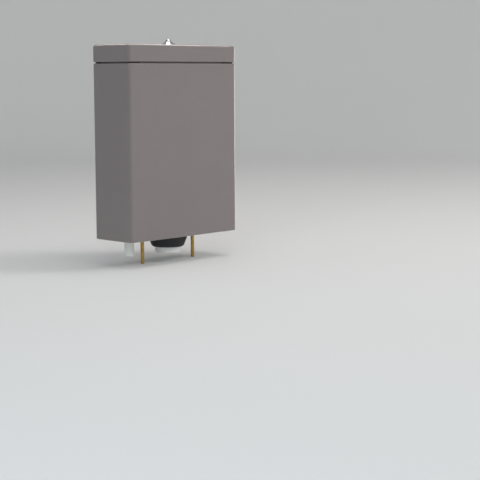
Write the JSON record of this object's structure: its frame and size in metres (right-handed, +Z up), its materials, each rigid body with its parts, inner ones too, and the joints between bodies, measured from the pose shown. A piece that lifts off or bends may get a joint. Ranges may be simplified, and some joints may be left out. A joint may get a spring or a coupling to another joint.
{
  "type": "toilet cistern",
  "caption": "Slim close-coupled ceramic toilet cistern with a lift-off lid and a concentric dual-flush push button working a lift-tube flush valve and a float-cup fill valve.",
  "frame": {"origin": "on the axis of the flush outlet, in the plane that the foot of the tank stands on the pan", "axes": "X to the right as seen from the front, Y from the front towards the wall, Z up"},
  "size_m": [0.336, 0.121, 0.5067],
  "materials": {
    "greige_glaze": "warm grey glaze with a satin sheen over vitreous china",
    "chrome": "bright chrome plating on moulded plastic",
    "white_plastic": "white moulded plastic",
    "blue_plastic": "blue moulded plastic",
    "grey_plastic": "light grey moulded plastic",
    "black_rubber": "black moulded rubber",
    "red_silicone": "red silicone rubber",
    "stainless": "drawn stainless steel",
    "brass": "plain turned brass"
  },
  "bodies": {
    "cistern": {"tank": "greige_glaze", "flush_valve_seat": "white_plastic", "seat_washer": "black_rubber", "tail_nut": "white_plastic", "coupling_seal": "black_rubber", "flush_valve_tower": "blue_plastic", "lever_pins": "stainless", "inlet_shank": "white_plastic", "inlet_washer": "black_rubber", "inlet_nut": "white_plastic", "inlet_filter": "brass", "fill_column": "white_plastic", "fill_valve_head": "grey_plastic", "fill_diaphragm": "black_rubber", "fill_valve_cap": "blue_plastic", "float_arm_pin": "stainless", "coupling_bolts": "brass", "bolt_seals": "black_rubber", "bolt_washers": "stainless", "bolt_nuts": "brass"},
    "lid": {"lid": "greige_glaze", "lid_pads": "black_rubber", "button_bezel": "chrome", "bezel_gasket": "black_rubber", "bezel_nut": "white_plastic", "full_flush_spring": "stainless", "half_flush_spring": "stainless"},
    "full_button": {"full_flush_ring": "chrome", "full_flush_rod": "white_plastic"},
    "half_button": {"half_flush_dome": "chrome", "half_flush_rod": "blue_plastic"},
    "full_lever": {"full_flush_lever": "white_plastic"},
    "half_lever": {"half_flush_lever": "grey_plastic"},
    "flush_tube": {"overflow_tube": "white_plastic", "outlet_seal": "red_silicone", "lifting_strap": "white_plastic"},
    "half_float": {"half_flush_float": "grey_plastic"},
    "fill_float": {"float_cup": "grey_plastic", "float_link": "white_plastic"},
    "float_arm": {"float_arm": "blue_plastic"}
  },
  "joints": [
    {"name": "lid_lift", "type": "slide", "parent": "cistern", "child": "lid", "axis": [0, 0, 1], "range_m": [0, 0.25]},
    {"name": "full_press", "type": "slide", "parent": "lid", "child": "full_button", "axis": [0, 0, -1], "range_m": [0, 0.007], "stiffness_N_per_m": 400, "springref_m": -0.005, "deforming": ["full_flush_spring"]},
    {"name": "half_press", "type": "slide", "parent": "lid", "child": "half_button", "axis": [0, 0, -1], "range_m": [0, 0.007], "stiffness_N_per_m": 400, "springref_m": -0.005, "deforming": ["half_flush_spring"]},
    {"name": "full_lever_turn", "type": "hinge", "parent": "cistern", "child": "full_lever", "pos_m": [0.0258, 0, 0.31483], "axis": [0, -1, 0], "range_deg": [0, 28.46]},
    {"name": "tube_lift", "type": "slide", "parent": "cistern", "child": "flush_tube", "axis": [0, 0, 1], "range_m": [0, 0.00983]},
    {"name": "half_lever_turn", "type": "hinge", "parent": "cistern", "child": "half_lever", "pos_m": [-0.018, 0, 0.31483], "axis": [0, 1, 0], "range_deg": [0, 22.01]},
    {"name": "half_float_lift", "type": "slide", "parent": "cistern", "child": "half_float", "axis": [0, 0, 1], "range_m": [0, 0.00764]},
    {"name": "float_rise", "type": "slide", "parent": "cistern", "child": "fill_float", "axis": [0, 0, 1], "range_m": [0, 0.015]},
    {"name": "float_arm_turn", "type": "hinge", "parent": "cistern", "child": "float_arm", "pos_m": [-0.124, 0, 0.305], "axis": [0, -1, 0], "range_deg": [0, 31.07]}
  ],
  "couplings": [
    {"joint": "full_lever_turn", "follows": "full_press", "rad_per_m": 70.967},
    {"joint": "tube_lift", "follows": "full_press", "ratio": 1.4048},
    {"joint": "half_lever_turn", "follows": "half_press", "rad_per_m": 54.871},
    {"joint": "half_float_lift", "follows": "half_press", "ratio": 1.0907},
    {"joint": "float_arm_turn", "follows": "float_rise", "rad_per_m": 36.156}
  ]
}
